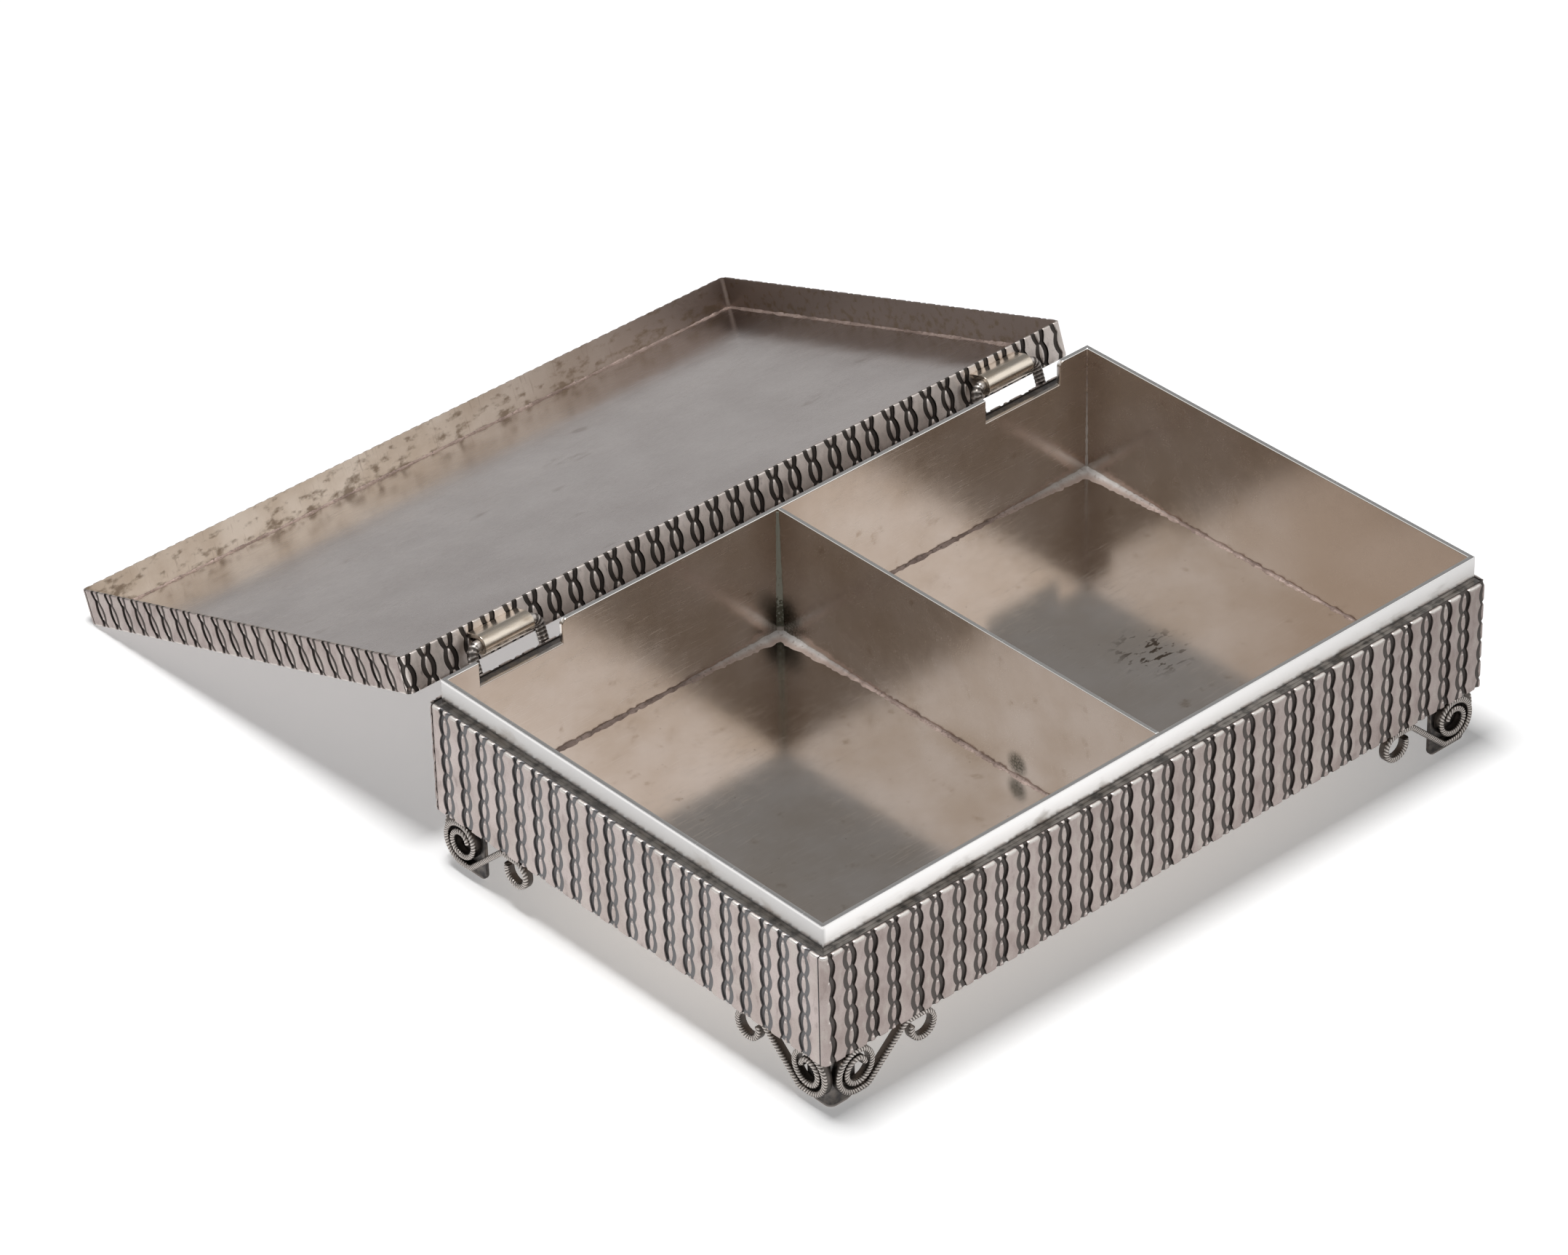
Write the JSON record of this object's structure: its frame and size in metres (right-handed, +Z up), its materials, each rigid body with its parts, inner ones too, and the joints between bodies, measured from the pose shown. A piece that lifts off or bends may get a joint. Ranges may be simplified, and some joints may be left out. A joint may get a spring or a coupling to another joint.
{
  "type": "hinged table box",
  "caption": "Rectangular sheet-silver table box on scrolled feet, with chain-pattern sides, a divided liner that stands proud as a rim, and a shallow lid on wire-loop hinges.",
  "frame": {"origin": "on the table, under the plan centre of the open box and lid together", "axes": "+X along the box and its hinge axis, +Y from the front of the box to the far edge of the open lid, +Z up"},
  "size_m": [0.151, 0.1942, 0.0375],
  "materials": {
    "patterned_silver": "satin silver with dark oxidised grooves",
    "polished_silver": "polished silver with fine scratches and a warm tarnish",
    "satin_silver": "satin silver, brown at the borders",
    "warm_silver": "polished, yellowed silver",
    "tarnished_silver": "dark tarnished silver, bright on worn edges"
  },
  "bodies": {
    "box": {"sleeve_front": "patterned_silver", "sleeve_back": "patterned_silver", "sleeve_left": "patterned_silver", "sleeve_right": "patterned_silver", "ledge_front": "tarnished_silver", "ledge_back": "tarnished_silver", "ledge_left": "tarnished_silver", "ledge_right": "tarnished_silver", "liner_front": "polished_silver", "liner_back": "polished_silver", "liner_left": "polished_silver", "liner_right": "polished_silver", "floor_plate": "polished_silver", "divider": "polished_silver", "hinge_loop_left": "tarnished_silver", "hinge_loop_right": "tarnished_silver", "corner_foot_front_left": "tarnished_silver", "corner_foot_front_right": "tarnished_silver", "corner_foot_back_right": "tarnished_silver", "corner_foot_back_left": "tarnished_silver", "scroll_front_left": "tarnished_silver", "scroll_front_right": "tarnished_silver", "scroll_back_left": "tarnished_silver", "scroll_back_right": "tarnished_silver", "scroll_left_front": "tarnished_silver", "scroll_left_back": "tarnished_silver", "scroll_right_front": "tarnished_silver", "scroll_right_back": "tarnished_silver"},
    "lid": {"lid_plate": "satin_silver", "lid_skirt_front": "patterned_silver", "lid_skirt_back": "patterned_silver", "lid_skirt_left": "patterned_silver", "lid_skirt_right": "patterned_silver", "hinge_barrel_left": "warm_silver", "hinge_barrel_right": "warm_silver"}
  },
  "joints": [
    {"name": "lid_hinge", "type": "hinge", "parent": "box", "child": "lid", "pos_m": [0, 0.00214, 0.0353], "axis": [1, 0, 0], "range_deg": [0, 198.81]}
  ]
}
